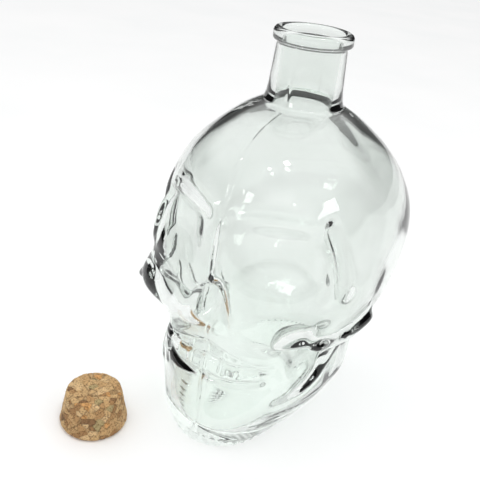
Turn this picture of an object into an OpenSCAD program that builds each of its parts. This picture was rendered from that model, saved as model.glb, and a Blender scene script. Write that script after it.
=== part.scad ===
// Glass bottle blown in the shape of a skull, with its loose cork stopper standing beside it.
// Millimetres. The origin is on the neck's axis at table height, +Z is up and the face looks along -Y.
// Angles on the skull are measured round the neck's axis from the middle of the face.

/* [Bottle] */
// Height from the table to the top of the lip
bottle_h = 172; // [166:1:180]
// Thickness of the glass in the skull's walls
wall = 3.6; // [3:0.1:4.5]
// Thickness of the glass under the cavity, above the raised middle of the base
floor_t = 3.5; // [3:0.5:6]
// Height of the raised middle of the base
punt_h = 3.5; // [1:0.5:5]
// Radius of the rounded edge round the foot
heel = 2.5; // [1:0.5:4]

/* [Neck] */
// Outer diameter of the lip
lip_d = 32.6; // [31:0.2:34]
// Height of the lip
lip_h = 5.2; // [4:0.1:7]
// Outer diameter of the neck just under the lip
neck_top_d = 28.7; // [28:0.1:30]
// Outer diameter of the neck just above the shoulder
neck_base_d = 32; // [31:0.5:34]
// Diameter of the bore that takes the cork
bore_d = 24.8; // [22:0.1:25.6]

/* [Face] */
// How far the cheekbones stand out
cheek = 6.8; // [3:0.2:8]
// How far the bony arches behind the cheekbones stand out
arch = 4; // [2:0.5:6]
// How far the brow stands out
brow = 1.6; // [0:0.2:3]
// Depth of the eye sockets
socket = 9; // [4:0.5:10]
// Depth of the nose opening
nose = 9.5; // [4:0.5:10]
// Depth of the hollows between the arches and the jaw
jaw_hollow = 8; // [3:0.5:9]
// Depth of the narrow slots behind the outer rims of the eye sockets
temple_slot = 4.2; // [1:0.2:5]
// Angle from one tooth to the next, round the neck's axis
tooth_pitch = 7.5; // [7.5]
// Depth of the grooves between the teeth
tooth_groove = 0.9; // [0.2:0.1:1.2]

/* [Cork] */
// Diameter of the cork's wide end
cork_wide_d = 29.8; // [28:0.2:31]
// Diameter of the cork's narrow end
cork_narrow_d = 24.6; // [22:0.2:26]
// Height of the cork
cork_h = 17; // [14:0.5:22]
// Where the cork stands beside the bottle, to the skull's right
cork_x = -43.8; // [-60:0.2:-43]
// Where the cork stands in front of the neck's axis
cork_y = -76.4; // [-95:0.2:-76]

/* [Hidden] */

// Height of the plane where the skull ends inside the foot of the neck
skull_h = 143;

// Sections of the skull: height, reach of the face, reach of the back of the head, half width.
// The lengths are counted from the neck's axis.
sections = [
    [0, 62, 23, 27],
    [8, 61.5, 24, 33.5],
    [22, 60.5, 27, 40.5],
    [38, 60.5, 35.5, 41.5],
    [52, 59, 45, 45.5],
    [66, 61.5, 57, 50.5],
    [82, 61.5, 67.5, 53],
    [98, 61.5, 70, 52],
    [112, 58, 60.5, 46.5],
    [124, 53.5, 45.5, 39.5],
    [133, 47, 33, 30.5],
    [139, 36, 23, 23.5],
    [143, 17, 16, 16.5]
];
// Squareness of the sections: 2 is an ellipse
squareness = 2.2;

// Slope of column c of the sections at station i
function slope(c, i) =
    let (a = max(i - 1, 0), b = min(i + 1, len(sections) - 1))
    (sections[b][c] - sections[a][c]) / (sections[b][0] - sections[a][0]);

// Smooth curve through column c of the sections, at height z
function curve(c, z) =
    let (
        last = len(sections) - 2,
        i = max([for (k = [0:last]) if (k == 0 || z >= sections[k][0]) k]),
        h = sections[i + 1][0] - sections[i][0],
        t = (z - sections[i][0]) / h,
        t2 = t * t,
        t3 = t2 * t
    )
    (2 * t3 - 3 * t2 + 1) * sections[i][c]
    + (t3 - 2 * t2 + t) * h * slope(c, i)
    + (3 * t2 - 2 * t3) * sections[i + 1][c]
    + (t3 - t2) * h * slope(c, i + 1);

// Plain radius of the skull at angle a, without its features; s holds the three curves at that height
function plain(a, s) =
    let (reach = cos(a) > 0 ? s[0] : s[1])
    pow(
        pow(abs(sin(a)) / s[2], squareness) + pow(abs(cos(a)) / reach, squareness),
        -1 / squareness
    );

// Distance from point v to the line from p to q
function segment_gap(v, p, q) =
    let (d = q - p, t = max(0, min(1, (v - p) * d / (d * d))))
    norm(v - p - t * d);

// Ridge of height 1 along a bent line of [angle, height] points, fading out over the width w
function ridge(v, line, w, p = 2) =
    exp(-pow(min([for (i = [0:len(line) - 2]) segment_gap(v, line[i], line[i + 1])]) / w, p));

// Mound of height 1 round the middle c, fading out over the half sizes s
function mound(v, c, s, p = 2) =
    exp(-pow(abs(v.x - c.x) / s.x, p) - pow(abs(v.y - c.y) / s.y, p));

// What stands out of the skull at v, the angle from the middle of the face and the height
function raised(v) =
    brow * ridge(v, [[7, 112], [22, 113.5], [33, 111.5]], 5)
    + 1.4 * ridge(v, [[39, 106], [42, 99], [44, 91], [44, 83]], 4)
    + cheek * mound(v, [36, 65.5], [12.5, 8.5], 2.5)
    + arch * ridge(v, [[44, 61.5], [54, 58.5], [66, 58.5], [76, 62]], 4.6, 3)
    + 1.0 * mound(v, [15, 62], [11, 9.5], 2.5)
    + 1.2 * ridge(v, [[66, 50], [64, 41], [56, 34], [45, 29.5], [33, 27]], 3.6)
    + 2.0 * mound(v, [20, 10], [10, 12])
    + 1.5 * ridge(v, [[0, 105], [0, 86]], 4);

// Half width of the nose opening, as an angle, narrower toward the bridge
function nose_half(z) = max(7.5 - 0.25 * (z - 64), 3);

// What is sunk into the skull, apart from the teeth
function sunk(v) =
    socket * mound(v, [23.5, 97.5], [15.5, 11.5], 3)
    + nose * exp(-pow(v.x / nose_half(v.y), 3) - pow(abs(v.y - 72) / 8.5, 4))
    + jaw_hollow * ridge(v, [[38, 52], [45, 43]], 9.5, 4)
    + temple_slot * ridge(v, [[45, 108], [48, 100], [51, 91], [54, 83]], 3.8)
    + 2.0 * mound(v, [66, 96], [18, 16])
    + 3.5 * mound(v, [76, 38], [8, 12]);

// Height of the upper gum line and of the line where the teeth meet
function gum(a) = 54 - 0.35 * min(a, 20);
function bite(a) = 47 - 0.12 * min(a, 24);

// Grooves of the two rows of teeth, fading out toward the back of the mouth
function teeth(v) =
    let (
        row = max(0, min(1, (30 - v.x) / 6)),
        gap = abs((v.x + tooth_pitch / 2) % tooth_pitch - tooth_pitch / 2),
        tall = max(0, min(1, (gum(v.x) - v.y) / 1.5)) * max(0, min(1, (v.y - 39.5) / 1.5))
    )
    row * tooth_groove * (
        1.3 * exp(-pow((v.y - bite(v.x)) / 1.3, 2))
        + exp(-pow((v.y - gum(v.x)) / 1.2, 2))
        + tall * exp(-pow(gap / 1.1, 2))
    )
    + 1.6 * ridge(v, [[3, 37.5], [13, 37], [24, 38.5]], 2.2);

// Angle from the middle of the face, the same on both sides
function off_face(a) = a > 180 ? 360 - a : abs(a);

// Drop of a rounded edge of radius r at height z above its foot
function rounding(r, z) =
    let (k = max(0, min(1, 1 - z / r)))
    r * (1 - sqrt(1 - k * k));

// Point of the outer surface
function outer_point(a, z, s) =
    let (
        v = [off_face(a), z],
        r = plain(a, s) + raised(v) - sunk(v) - teeth(v) - rounding(heel, z)
    )
    [r * sin(a), -r * cos(a), z];

// Height of the cavity's surface that lies inside height z of the outer surface
function inner_z(z) =
    z + (punt_h + floor_t) * pow(max(0, 1 - z / 30), 2) - 3.6 * pow(max(0, (z - 105) / 38), 2);

// Point of the cavity's surface: it follows the sunk forms fully and the raised ones a little
function inner_point(a, z, s) =
    let (
        v = [off_face(a), z],
        r = plain(a, s) - wall + 0.4 * raised(v) - sunk(v) - rounding(6, z)
    )
    [r * sin(a), -r * cos(a), inner_z(z)];

// Rows and columns of the outer surface, closest on the face and at the teeth
outer_rows = concat(
    [0, 0.7, 1.6, 3, 5],
    [for (z = [8:3:38]) z],
    [for (z = [40:1.75:54]) z],
    [for (z = [57:2.8:121.4]) z],
    [for (z = [124:2.375:143]) z]
);
outer_columns = concat(
    [for (a = [-60:2.5:60]) a],
    [for (a = [67.5:7.5:292.5]) a]
);
// Rows and columns of the cavity
inner_rows = concat(
    [0, 2, 5],
    [for (z = [9:5:129]) z],
    [133, 136.5, 140, 143]
);
inner_columns = concat(
    [for (a = [-60:5:60]) a],
    [for (a = [75:15:285]) a]
);

// Closed solid through rings of n points each, with an end point below and another above
module ringed(rings, low, high) {
    n = len(rings[0]);
    m = len(rings);
    points = concat([for (r = rings, p = r) p], [low, high]);
    faces = concat(
        [for (i = [0:m - 2], j = [0:n - 1]) [i * n + j, (i + 1) * n + j, (i + 1) * n + (j + 1) % n]],
        [for (i = [0:m - 2], j = [0:n - 1]) [i * n + j, (i + 1) * n + (j + 1) % n, i * n + (j + 1) % n]],
        [for (j = [0:n - 1]) [m * n, j, (j + 1) % n]],
        [for (j = [0:n - 1]) [m * n + 1, (m - 1) * n + (j + 1) % n, (m - 1) * n + j]]
    );
    polyhedron(points = points, faces = faces);
}

// Ring of a surface scaled toward the middle of the foot and set at height z
function foot_ring(ring, k, z) =
    [for (p = ring) [p.x * k, (p.y + foot_y) * k - foot_y, z]];
// Distance of the foot's middle in front of the neck's axis
foot_y = 30;

module skull_solid() {
    skin = [for (z = outer_rows)
        let (s = [curve(1, z), curve(2, z), curve(3, z)])
        [for (a = outer_columns) outer_point(a, z, s)]];
    // The foot stands on a flat ring; its middle is raised
    rings = concat(
        [foot_ring(skin[0], 0.28, punt_h), foot_ring(skin[0], 0.4, punt_h * 0.45), foot_ring(skin[0], 0.5, 0)],
        skin
    );
    ringed(rings, [0, -foot_y, punt_h], [0, 0, skull_h]);
}

module cavity() {
    skin = [for (z = inner_rows)
        let (s = [curve(1, z), curve(2, z), curve(3, z)])
        [for (a = inner_columns) inner_point(a, z, s)]];
    top = inner_z(skull_h) + 2;
    throat = [for (a = inner_columns) [(bore_d / 2 - 0.6) * sin(a), -(bore_d / 2 - 0.6) * cos(a), top]];
    ringed(concat(skin, [throat]), [0, -foot_y, inner_z(0)], [0, 0, top]);
}

// Points on a quarter circle of radius r about c, from angle a to angle b
function quarter(c, r, a, b, steps = 6) =
    [for (i = [0:steps]) c + r * [cos(a + (b - a) * i / steps), sin(a + (b - a) * i / steps)]];

// Neck and lip, turned about the axis
module neck_solid() {
    lip_r = lip_d / 2;
    top_r = neck_top_d / 2;
    base_r = neck_base_d / 2;
    under = bottle_h - lip_h;
    rotate_extrude($fn = 96)
        polygon(concat(
            [[0, skull_h - 4.5], [base_r + 1.9, skull_h - 4.5], [base_r + 1.7, skull_h - 1.4]],
            [[base_r + 0.6, skull_h + 0.6], [base_r, skull_h + 2.6], [base_r - 0.5, skull_h + 6]],
            [[top_r, under - 0.4], [top_r + 0.5, under]],
            quarter([lip_r - 1.2, under + 1.2], 1.2, -90, 0, 4),
            quarter([lip_r - 2, bottle_h - 2], 2, 0, 90),
            [[0, bottle_h]]
        ));
}

// Bore, with the rounded mouth of the lip
module bore() {
    r = bore_d / 2;
    translate([0, 0, skull_h - 3]) cylinder(r = r, h = bottle_h - skull_h + 4, $fn = 96);
    rotate_extrude($fn = 96)
        polygon(concat(
            [[r - 2, bottle_h - 1.5]],
            quarter([r + 1.5, bottle_h - 1.5], 1.5, 180, 90),
            [[r + 1.5, bottle_h + 1], [r - 2, bottle_h + 1]]
        ));
}

// One piece of blown glass: the hollow skull, the neck and the lip
module glass_bottle() {
    color([0.78, 0.83, 0.8, 0.55])
    difference() {
        union() {
            skull_solid();
            neck_solid();
        }
        cavity();
        bore();
    }
}

// Tapered stopper of pressed cork grains, standing on its wide end
module cork_stopper() {
    wide = cork_wide_d / 2;
    narrow = cork_narrow_d / 2;
    color([0.72, 0.58, 0.38])
    translate([cork_x, cork_y, 0])
        rotate_extrude($fn = 96)
            polygon(concat(
                [[0, 0]],
                quarter([wide - 2, 2], 2, -90, 0),
                quarter([narrow - 1.2, cork_h - 1.2], 1.2, 0, 90),
                [[0, cork_h]]
            ));
}

glass_bottle();
cork_stopper();
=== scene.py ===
"""Glass skull bottle with a loose cork beside it, on a plain pale table.

Everything is in metres in the part's own frame: the origin is on the neck's axis at table height, +Z is up
and the face looks along -Y. The surfaces are worked out in millimetres and scaled when a mesh is made.
"""
import math

import bpy
import numpy as np
from mathutils import Matrix, Vector


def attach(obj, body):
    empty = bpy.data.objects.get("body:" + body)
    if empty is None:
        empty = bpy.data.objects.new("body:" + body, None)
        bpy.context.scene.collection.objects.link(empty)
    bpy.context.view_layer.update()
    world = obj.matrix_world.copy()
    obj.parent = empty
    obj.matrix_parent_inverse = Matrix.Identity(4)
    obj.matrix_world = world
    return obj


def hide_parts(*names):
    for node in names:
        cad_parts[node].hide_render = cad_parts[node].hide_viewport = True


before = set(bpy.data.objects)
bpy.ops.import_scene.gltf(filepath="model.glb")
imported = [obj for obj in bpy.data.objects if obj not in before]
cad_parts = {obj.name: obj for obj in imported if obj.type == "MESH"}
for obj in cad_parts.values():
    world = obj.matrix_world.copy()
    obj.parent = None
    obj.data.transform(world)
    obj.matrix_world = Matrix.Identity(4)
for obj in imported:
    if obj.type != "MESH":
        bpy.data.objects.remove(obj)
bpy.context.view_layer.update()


# Camera: where the photograph was taken from, in front of the skull and toward its left, looking down by
# 27 degrees and rolled by 7.
EYE = (0.106957, -0.251188, 0.215939)
AZIMUTH, PITCH, ROLL = 0.471, 0.479, 0.129
look = Vector((-math.cos(PITCH) * math.sin(AZIMUTH), math.cos(PITCH) * math.cos(AZIMUTH), -math.sin(PITCH)))
side = look.cross(Vector((0, 0, 1))).normalized()
above = side.cross(look)
right = math.cos(ROLL) * side + math.sin(ROLL) * above
up = -math.sin(ROLL) * side + math.cos(ROLL) * above
lens = bpy.data.cameras.new("camera")
lens.sensor_width = 36
lens.lens = 49.65
camera = bpy.data.objects.new("camera", lens)
camera.matrix_world = Matrix.Translation(EYE) @ Matrix((right, up, -look)).transposed().to_4x4()
bpy.context.scene.collection.objects.link(camera)
bpy.context.scene.camera = camera
bpy.context.scene.render.resolution_x = 480
bpy.context.scene.render.resolution_y = 480


class Socket:
    """A shader socket that takes part in sums; each operation adds one Math node."""

    def __init__(self, shader, out):
        self.shader, self.out = shader, out

    def math(self, operation, other):
        return self.shader.node("ShaderNodeMath", {"operation": operation}, {0: self, 1: other})

    def __add__(self, other):
        return self.math("ADD", other)

    def __mul__(self, other):
        return self.math("MULTIPLY", other)

    __radd__ = __add__
    __rmul__ = __mul__


class Shader:
    """A material's or the world's node tree."""

    def __init__(self, tree):
        self.tree = tree
        tree.nodes.clear()

    def node(self, kind, settings=None, inputs=None, output=0):
        """Adds a node with its settings, then its values and links, and gives back one of its outputs."""
        made = self.tree.nodes.new(kind)
        for key, value in (settings or {}).items():
            if key == "stops":
                for element, (place, colour) in zip(made.color_ramp.elements, value):
                    element.position, element.color = place, colour
            else:
                setattr(made, key, value)
        for key, value in (inputs or {}).items():
            if isinstance(value, Socket):
                self.tree.links.new(value.out, made.inputs[key])
            else:
                made.inputs[key].default_value = value
        return Socket(self, made.outputs[output]) if made.outputs else None


def new_shader(name):
    """A material and its empty node tree, with a socket of the piece's own coordinates."""
    material = bpy.data.materials.new(name)
    material.use_nodes = True
    shader = Shader(material.node_tree)
    return material, shader, shader.node("ShaderNodeTexCoord", output="Object")


def linear(r, g, b):
    """A screen colour from 0 to 255 as the linear values that the shaders take."""
    def one(v):
        v = v / 255
        return v / 12.92 if v <= 0.04045 else ((v + 0.055) / 1.055) ** 2.4
    return (one(r), one(g), one(b), 1.0)


MM = 0.001


def mesh_piece(name, points, faces, smooth=True):
    """A mesh object at the origin, from points in millimetres."""
    mesh = bpy.data.meshes.new(name)
    mesh.from_pydata((points * MM).tolist(), [], faces)
    mesh.polygons.foreach_set("use_smooth", np.full(len(mesh.polygons), smooth))
    mesh.update()
    piece = bpy.data.objects.new(name, mesh)
    bpy.context.scene.collection.objects.link(piece)
    return piece


# Table: a wide matt white sheet that the bottle and the cork stand on. It fills the picture, shows through
# the glass and takes the shadows.
HALF_TABLE = 4000.0
corners = np.array([[-1, -1, 0], [1, -1, 0], [1, 1, 0], [-1, 1, 0]]) * HALF_TABLE
table = mesh_piece("table", corners, [[0, 1, 2, 3]], smooth=False)
material, shader, place = new_shader("table")
mottle = shader.node("ShaderNodeTexNoise", inputs={"Vector": place, "Scale": 6.0})
tone = shader.node("ShaderNodeValToRGB", {"stops": [(0.3, linear(249, 250, 250)),
                                                    (0.7, linear(253, 253, 253))]}, {"Fac": mottle})
surface = shader.node("ShaderNodeBsdfPrincipled", inputs={"Base Color": tone, "Roughness": 0.7})
shader.node("ShaderNodeOutputMaterial", inputs={"Surface": surface})
table.data.materials.append(material)


# Room: a white ceiling above darker walls, which give the glass its dark edges. Straight from the camera
# the walls show at full white.
WALL_LIGHT, CEILING_LIGHT = 0.08, 1.15
world = bpy.data.worlds.new("room")
bpy.context.scene.world = world
world.use_nodes = True
shader = Shader(world.node_tree)
toward = shader.node("ShaderNodeTexCoord", output="Generated")
rise = shader.node("ShaderNodeSeparateXYZ", inputs={"Vector": toward}, output="Z")
room = shader.node("ShaderNodeMapRange", {"interpolation_type": "SMOOTHSTEP"}, {
    "Value": rise, "From Min": 0.25, "From Max": 0.6, "To Min": WALL_LIGHT, "To Max": CEILING_LIGHT})
camera_ray = shader.node("ShaderNodeLightPath", output="Is Camera Ray")
light = shader.node("ShaderNodeBackground", inputs={
    "Color": (1, 1, 1, 1), "Strength": room.math("MAXIMUM", camera_ray)})
shader.node("ShaderNodeOutputWorld", inputs={"Surface": light})


# Lamps: small square ones overhead and at the side and front, where the glass's highlights come from. Each
# has a place and a side in metres and a power in watts.
SKULL_MIDDLE = Vector((0, 0, 0.08))
for name, place, size, power in (
        ("ceiling", (0.5, -0.2, 1.3), 0.14, 2.0), ("ceiling_small", (0.27, -0.8, 1.3), 0.1, 1.0),
        ("side_window", (1.5, 0.16, 0.65), 0.3, 1.5), ("front_window", (-0.27, -1.5, 0.65), 0.25, 1.5)):
    data = bpy.data.lights.new(name, "AREA")
    data.size, data.energy = size, power
    lamp = bpy.data.objects.new(name, data)
    lamp.location = place
    lamp.rotation_euler = (SKULL_MIDDLE - Vector(place)).to_track_quat("-Z", "Y").to_euler()
    bpy.context.scene.collection.objects.link(lamp)


# Bottle: one piece of glass blown in a two-part mould. The outside, the lip, the bore and the cavity are
# one closed skin; the mould's seam runs up the face and the back of the head, and the foot is knurled.
HEIGHT, SKULL_H = 172.0, 143.0
LIP_H, LIP_R, BORE_R = 5.2, 16.3, 12.4
WALL, FLOOR, PUNT, HEEL, FOOT_Y = 3.6, 3.5, 3.5, 2.5, 30.0
EDGE_UNDER, EDGE_TOP, EDGE_MOUTH = 1.2, 2.0, 1.5
SEAM_HIGH, SEAM_HALF = 0.45, 0.7
KNURL_PITCH, KNURL_DEEP, KNURL_MIDDLE, KNURL_HALF, KNURL_CLOSE = 4.2, 1.5, 3.0, 2.8, 3.0
SKIN_IN, SKIN_RIPPLE, FILLET = 0.3, 0.15, 0.3
# Sections of the skull: height, reach of the face, reach of the back of the head, half width
STATIONS = np.array([
    [0, 62, 23, 27], [8, 61.5, 24, 33.5], [22, 60.5, 27, 40.5], [38, 60.5, 35.5, 41.5], [52, 59, 45, 45.5],
    [66, 61.5, 57, 50.5], [82, 61.5, 67.5, 53], [98, 61.5, 70, 52], [112, 58, 60.5, 46.5],
    [124, 53.5, 45.5, 39.5], [133, 47, 33, 30.5], [139, 36, 23, 23.5], [143, 17, 16, 16.5]], float)
SQUARENESS = 2.2
# The neck's radius at rising heights: its widened foot on the skull, then the taper up to the lip
NECK_Z = [0, 138.5, 141.6, 143.6, 145.6, 149, 166.4]
NECK_R = [17.9, 17.9, 17.7, 16.6, 16, 15.5, 14.35]


def curve(column, z):
    """Smooth cubic through one column of the stations, its slope at each taken from its neighbours."""
    zs, v = STATIONS[:, 0], STATIONS[:, column]
    m = np.gradient(v, zs)
    m[1:-1] = (v[2:] - v[:-2]) / (zs[2:] - zs[:-2])
    i = np.clip(np.searchsorted(zs, z, side="right") - 1, 0, len(zs) - 2)
    h = zs[i + 1] - zs[i]
    t = (z - zs[i]) / h
    return ((2 * t**3 - 3 * t**2 + 1) * v[i] + (t**3 - 2 * t**2 + t) * h * m[i]
            + (3 * t**2 - 2 * t**3) * v[i + 1] + (t**3 - t**2) * h * m[i + 1])


def plain(a, z):
    """Plain radius at angle a: an ellipse made a little squarer, longer toward the face than behind."""
    c, s = np.cos(np.radians(a)), np.abs(np.sin(np.radians(a)))
    reach = np.where(c > 0, curve(1, z), curve(2, z))
    return ((s / curve(3, z)) ** SQUARENESS + (np.abs(c) / reach) ** SQUARENESS) ** (-1 / SQUARENESS)


def ridge(a, z, line, width, power=2):
    """1 on a bent line of (angle, height) points, falling as exp(-(distance / width) ** power)."""
    gap = np.full(np.broadcast(a, z).shape, 1e9)
    for (a0, z0), (a1, z1) in zip(line[:-1], line[1:]):
        da, dz = a1 - a0, z1 - z0
        t = np.clip(((a - a0) * da + (z - z0) * dz) / (da * da + dz * dz), 0, 1)
        gap = np.minimum(gap, np.hypot(a - a0 - t * da, z - z0 - t * dz))
    return np.exp(-(gap / width) ** power)


def mound(a, z, middle, half, power=2):
    """1 at the middle, falling as exp of minus the powers of the two offsets over the half sizes."""
    return np.exp(-(np.abs(a - middle[0]) / half[0]) ** power
                  - (np.abs(z - middle[1]) / half[1]) ** power)


def raised(a, z):
    """What stands out: ridges and mounds of so many millimetres at angles and heights on the face."""
    brow = 1.6 * ridge(a, z, [(7, 112), (22, 113.5), (33, 111.5)], 5)
    socket_rim = 1.4 * ridge(a, z, [(39, 106), (42, 99), (44, 91), (44, 83)], 4)
    cheekbone = 6.8 * mound(a, z, (36, 65.5), (12.5, 8.5), 2.5)
    arch = 4.0 * ridge(a, z, [(44, 61.5), (54, 58.5), (66, 58.5), (76, 62)], 4.6, 3)
    upper_jaw = 1.0 * mound(a, z, (15, 62), (11, 9.5), 2.5)
    jaw_edge = 1.2 * ridge(a, z, [(66, 50), (64, 41), (56, 34), (45, 29.5), (33, 27)], 3.6)
    chin_corner = 2.0 * mound(a, z, (20, 10), (10, 12))
    nose_bridge = 1.5 * ridge(a, z, [(0, 105), (0, 86)], 4)
    return brow + socket_rim + cheekbone + arch + upper_jaw + jaw_edge + chin_corner + nose_bridge


def sunk(a, z):
    """What is sunk, apart from the teeth; the nose opening narrows toward the bridge."""
    nose_half = np.maximum(7.5 - 0.25 * (z - 64), 3)
    eye_socket = 9.0 * mound(a, z, (23.5, 97.5), (15.5, 11.5), 3)
    nose = 9.5 * np.exp(-(a / nose_half) ** 3 - (np.abs(z - 72) / 8.5) ** 4)
    jaw_hollow = 8.0 * ridge(a, z, [(38, 52), (45, 43)], 9.5, 4)
    temple_slot = 5.6 * ridge(a, z, [(44, 107), (48, 99), (51, 91), (53, 84)], 3.6)
    temple = 2.0 * mound(a, z, (66, 96), (18, 16))
    behind_jaw = 3.5 * mound(a, z, (76, 38), (8, 12))
    return eye_socket + nose + jaw_hollow + temple_slot + temple + behind_jaw


def teeth(a, z):
    """Grooves at the gums, the bite and between the teeth, and the groove under the lower row."""
    pitch, deep = 7.5, 0.9
    row = np.clip((30 - a) / 6, 0, 1)
    gum = 54 - 0.35 * np.minimum(a, 20)
    bite = 47 - 0.12 * np.minimum(a, 24)
    gap = np.abs((a + pitch / 2) % pitch - pitch / 2)
    tall = np.clip((gum - z) / 1.5, 0, 1) * np.clip((z - 39.5) / 1.5, 0, 1)
    lines = 1.3 * np.exp(-((z - bite) / 1.1) ** 2) + np.exp(-((z - gum) / 1.1) ** 2)
    under_lower = 1.6 * ridge(a, z, [(3, 37.5), (13, 37), (24, 38.5)], 2.0)
    return row * deep * (lines + tall * np.exp(-(gap / 0.9) ** 2)) + under_lower


def rounding(radius, z):
    """Drop of a rounded edge at height z above its foot."""
    k = np.clip(1 - z / radius, 0, 1)
    return radius * (1 - np.sqrt(1 - k * k))


def ripple(a, z, seed):
    """Slow unevenness of blown glass between -1 and 1: six waves round and up, with random phases."""
    draw = np.random.default_rng(seed)
    total = 0
    for _ in range(6):
        turns, rise, phase = draw.integers(1, 9), draw.uniform(-0.16, 0.16), draw.uniform(0, 6.283)
        total = total + np.cos(np.radians(a) * turns + z * rise + phase)
    return total / 6


def place_on(radius, angle, z):
    """Points from radius, angle in degrees and height."""
    t = np.radians(angle)
    return np.stack([radius * np.sin(t), -radius * np.cos(t), z + 0 * radius], -1)


def turned(parts, angle):
    """Rings of a turned surface from its outline, given as pieces of (radii, heights)."""
    radius, height = (np.concatenate(values)[:, None] for values in zip(*parts))
    return place_on(radius + 0 * angle, angle, height)


def arc(r0, z0, radius, start, end, steps):
    """Radii and heights along part of a circle, angles in degrees."""
    t = np.radians(np.linspace(start, end, steps))
    return r0 + radius * np.cos(t), z0 + radius * np.sin(t)


def shrunk(ring, k):
    """A ring drawn in to k of its size about the middle of the foot."""
    return (ring + [0, FOOT_Y, 0]) * [k, k, 1] - [0, FOOT_Y, 0]


def ringed(rings, low, high):
    """Points and faces of a closed skin through rings (rows, columns, xyz) and an end point at each end."""
    rows, columns = rings.shape[:2]
    points = np.concatenate([rings.reshape(-1, 3), [low, high]])
    i, j = np.meshgrid(np.arange(rows - 1) * columns, np.arange(columns), indexing="ij")
    k = (j + 1) % columns
    quads = np.stack([i + j, i + k, i + columns + k, i + columns + j], -1)
    j, k = j[0], k[0]
    last = (rows - 1) * columns
    foot = np.stack([np.full(columns, rows * columns), k, j], -1)
    top = np.stack([np.full(columns, rows * columns + 1), last + j, last + k], -1)
    return points, quads.reshape(-1, 4).tolist() + foot.tolist() + top.tolist()


# Columns are closest at the seam and over the face
angle = np.concatenate([np.arange(-66, -3, 0.9), np.arange(-3, 3, 0.3), np.arange(3, 66, 0.9),
                        np.arange(66, 294, 3.0)])[None, :]
off = np.abs((angle + 180) % 360 - 180)

# Outside, from the foot to just under the lip
z = np.concatenate([np.linspace(0, 4, 14), np.linspace(4.6, 38, 44), np.linspace(38.5, 56, 39),
                    np.linspace(56.9, 124, 76), np.linspace(124.8, 139, 24), np.linspace(139.25, 146, 27),
                    np.linspace(147, 166.4, 18)])[:, None]
low = np.minimum(z, SKULL_H)
skull = plain(off, low) + raised(off, low) - sunk(off, low) - teeth(off, low) - rounding(HEEL, low)
# Above its own height the skull falls in steeply, which leaves the neck. Its skin lies a little inside the
# plain form, and the ripples and the seam stand out from there
skull = skull - 5 * (z - low) - SKIN_IN + SKIN_RIPPLE * ripple(angle, z, 5)
# Knurling: waves along the foot's edge, with an allowance for the stretch from the last column back to the
# first; that stretch is 1.7 mm, so the wave there comes out short
foot_edge = place_on(plain(off, np.array([[1.0]])), angle, 1.0)[0]
along = np.concatenate([[0], np.cumsum(np.linalg.norm(np.diff(foot_edge, axis=0), axis=1))])
ribs = np.round(along[-1] / KNURL_PITCH)
knurl = 0.5 - 0.5 * np.cos(2 * math.pi * ribs * along / (along[-1] + KNURL_CLOSE))[None, :]
skull = skull - KNURL_DEEP * knurl * np.exp(-((z - KNURL_MIDDLE) / KNURL_HALF) ** 4)
# The larger of the skull and the neck with a fillet between them, and the seam at its distance in
# millimetres (57.3 degrees to the radian)
neck = np.interp(z, NECK_Z, NECK_R)
outside = 0.5 * (skull + neck + np.sqrt((skull - neck) ** 2 + FILLET))
seam = np.exp(-(np.minimum(off, 180 - off) * outside / 57.3 / SEAM_HALF) ** 2)
outside = outside + SEAM_HIGH * seam * np.clip(z / 6, 0, 1)
skin = place_on(outside, angle, z)

# Foot: a flat ring and a shallow raised middle
foot = []
for k in (0.14, 0.28, 0.34, 0.4, 0.46, 0.5, 0.62, 0.8, 0.92):
    ring = shrunk(skin[0], k)
    ring[:, 2] = PUNT * np.clip(math.cos(math.pi * min(k, 0.5)), 0, 1) ** 1.5
    foot.append(ring)

# Lip, mouth and bore
under = HEIGHT - LIP_H
lip = turned([arc(LIP_R - EDGE_UNDER, under + EDGE_UNDER, EDGE_UNDER, -90, 0, 5),
              arc(LIP_R - EDGE_TOP, HEIGHT - EDGE_TOP, EDGE_TOP, 0, 90, 8),
              arc(BORE_R + EDGE_MOUTH, HEIGHT - EDGE_MOUTH, EDGE_MOUTH, 90, 180, 7),
              (np.full(9, BORE_R), np.linspace(HEIGHT - 5, SKULL_H - 1, 9))], angle)

# Cavity, from its top down to its floor: it follows the sunk forms fully and the raised ones a little. Its
# floor rises over the foot's middle, and its roof comes down by the wall
z = np.concatenate([np.linspace(143, 133, 12), np.linspace(131.8, 8, 78), np.linspace(6.8, 0, 9)])[:, None]
inside = (plain(off, z) - WALL + 0.4 * raised(off, z) - sunk(off, z) - rounding(6, z)
          + 0.7 * ripple(angle, z, 11))
lift = (PUNT + FLOOR) * np.clip(1 - z / 30, 0, 1) ** 2 - WALL * np.clip((z - 105) / 38, 0, 1) ** 2
cavity = place_on(inside, angle, z + lift)
floor = [shrunk(cavity[-1], k) for k in (0.85, 0.65, 0.45, 0.25)]

points, faces = ringed(np.concatenate([np.stack(foot), skin, lip, cavity, np.stack(floor)]),
                       [0, -FOOT_Y, PUNT], [0, -FOOT_Y, PUNT + FLOOR])
bottle = mesh_piece("bottle", points, faces)
material, shader, place = new_shader("clear_glass")
smear = shader.node("ShaderNodeTexNoise", inputs={"Vector": place, "Scale": 28.0, "Detail": 3.0})
rough = shader.node("ShaderNodeMapRange", inputs={
    "Value": smear, "From Min": 0.45, "From Max": 0.75, "To Min": 0.0, "To Max": 0.06})
tint = shader.node("ShaderNodeValToRGB", {"stops": [(0.35, linear(237, 241, 238)),
                                                    (0.65, linear(243, 246, 244))]}, {"Fac": smear})
wave = shader.node("ShaderNodeTexNoise", inputs={"Vector": place, "Scale": 60.0, "Detail": 1.0})
bump = shader.node("ShaderNodeBump", inputs={"Height": wave, "Strength": 0.25, "Distance": 0.0006})
glass = shader.node("ShaderNodeBsdfPrincipled", inputs={
    "Base Color": tint, "Roughness": rough, "Normal": bump, "Transmission Weight": 1.0, "IOR": 1.5})
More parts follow.
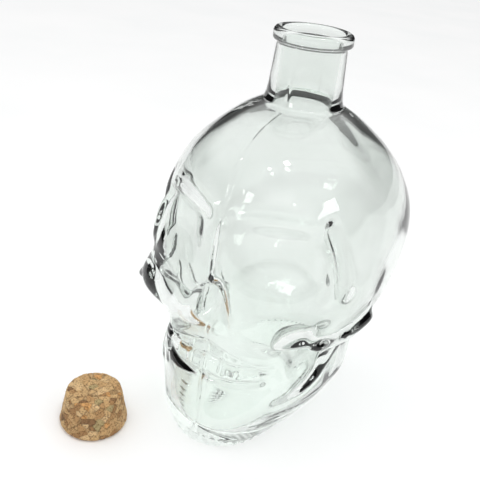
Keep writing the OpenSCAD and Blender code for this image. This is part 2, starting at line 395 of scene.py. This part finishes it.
# Light passes on to the table as through real glass, which throws only a pale shadow
clear = shader.node("ShaderNodeBsdfTransparent", inputs={"Color": (0.92, 0.93, 0.925, 1)})
shadow_ray = shader.node("ShaderNodeLightPath", output="Is Shadow Ray")
surface = shader.node("ShaderNodeMixShader", inputs={0: shadow_ray, 1: glass, 2: clear})
shader.node("ShaderNodeOutputMaterial", inputs={"Surface": surface})
bottle.data.materials.append(material)
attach(bottle, "bottle")
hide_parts("glass_bottle")


# Cork: a tapered stopper cut from a block of pressed cork grains about 3 mm across, of mixed browns, with
# dark cracks between them and grains sunk unevenly. It stands on its wide end.
WIDE, NARROW, CORK_H = 14.9, 12.3, 17.0
CORK_AT = np.array([-43.8, -76.4, 0.0])
CORK_FOOT_EDGE, CORK_TOP_EDGE = 2.0, 1.2
GRAIN = 2.9
CRACK_HALF, CRACK_DEEP, GRAIN_DEEP = 0.35, 0.32, 0.22
turn = np.linspace(0, 360, 261)[None, :-1]
low, high = CORK_FOOT_EDGE, CORK_H - CORK_TOP_EDGE
rings = turned([(np.array([2.0, 4.5, 7.0, 9.5, 11.5]), np.zeros(5)), arc(WIDE - low, low, low, -90, 0, 9),
                (np.linspace(WIDE, NARROW, 44)[1:-1], np.linspace(low, high, 44)[1:-1]),
                arc(NARROW - CORK_TOP_EDGE, high, CORK_TOP_EDGE, 0, 90, 7),
                (np.linspace(NARROW - 1.5, 0.4, 24), np.full(24, CORK_H))], turn)
points, faces = ringed(rings, [0, 0, 0], [0, 0, CORK_H])

# Grains: middles on a grid, each moved at random by up to half a step. A point belongs to the nearest, and
# a crack runs where two are about equally near
draw = np.random.default_rng(23)
across, upward = np.arange(-16.0, 17.0, GRAIN), np.arange(-1.5, 19.0, GRAIN)
grid = np.stack(np.meshgrid(across, across, upward, indexing="ij"), -1)
grains = grid.reshape(-1, 3) + draw.uniform(-0.48, 0.48, (grid.size // 3, 3)) * GRAIN
browns = np.array([linear(*c)[:3] for c in (
    (206, 170, 120), (198, 160, 110), (216, 182, 134), (184, 144, 96), (164, 124, 80), (210, 158, 98),
    (176, 156, 110), (140, 104, 68))])
brown_of = draw.choice(8, len(grains), p=[0.24, 0.2, 0.16, 0.14, 0.1, 0.07, 0.05, 0.04])
far = np.linalg.norm(points[:, None, :] - grains[None, :, :], axis=2)
nearest = np.argmin(far, axis=1)
first, second = np.sort(far, axis=1)[:, :2].T
crack = np.exp(-((second - first) / CRACK_HALF) ** 2)
# About two grains in five have open cracks round them, the others faint ones
is_open = np.sin(grains[nearest, 0] * 9.1 + grains[nearest, 2] * 5.3) > 0.3
crack = crack * (0.35 + 0.65 * is_open)
depth = CRACK_DEEP * crack + draw.uniform(0, GRAIN_DEEP, len(grains))[nearest]
# Everything is sunk toward the cork's middle, but the end that it stands on stays flat
inward = np.concatenate([-points[:, :2], (CORK_H / 2 - points[:, 2:])], axis=1)
inward /= np.linalg.norm(inward, axis=1, keepdims=True)
points = points + inward * np.where(points[:, 2] < 0.01, 0, depth)[:, None] + CORK_AT
cork = mesh_piece("cork", points, faces)
colour = browns[brown_of[nearest]] * (1 - 0.5 * crack[:, None])
layer = cork.data.color_attributes.new("grain", "FLOAT_COLOR", "POINT")
layer.data.foreach_set("color", np.concatenate([colour, np.ones((len(colour), 1))], axis=1).ravel())

material, shader, place = new_shader("pressed_cork")
grain = shader.node("ShaderNodeVertexColor", {"layer_name": "grain"})
fine = shader.node("ShaderNodeTexNoise", inputs={"Vector": place, "Scale": 1400.0, "Detail": 3.0})
speck = shader.node("ShaderNodeValToRGB", {"stops": [(0.36, (0.35, 0.3, 0.25, 1)),
                                                     (0.5, (1, 1, 1, 1))]}, {"Fac": fine})
# Fine dark specks over the grains; inputs 6 and 7 and output 2 of the Mix node are its colours
mixed = shader.node("ShaderNodeMix", {"data_type": "RGBA", "blend_type": "MULTIPLY"},
                    {"Factor": 0.8, 6: grain, 7: speck}, output=2)
bump = shader.node("ShaderNodeBump", inputs={"Height": fine, "Strength": 0.5, "Distance": 0.0004})
surface = shader.node("ShaderNodeBsdfPrincipled", inputs={
    "Base Color": mixed, "Roughness": fine * 0.2 + 0.72, "Normal": bump})
shader.node("ShaderNodeOutputMaterial", inputs={"Surface": surface})
cork.data.materials.append(material)
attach(cork, "cork")
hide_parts("cork_stopper")


# Finish: plain colour management.
bpy.context.scene.view_settings.view_transform = "Standard"
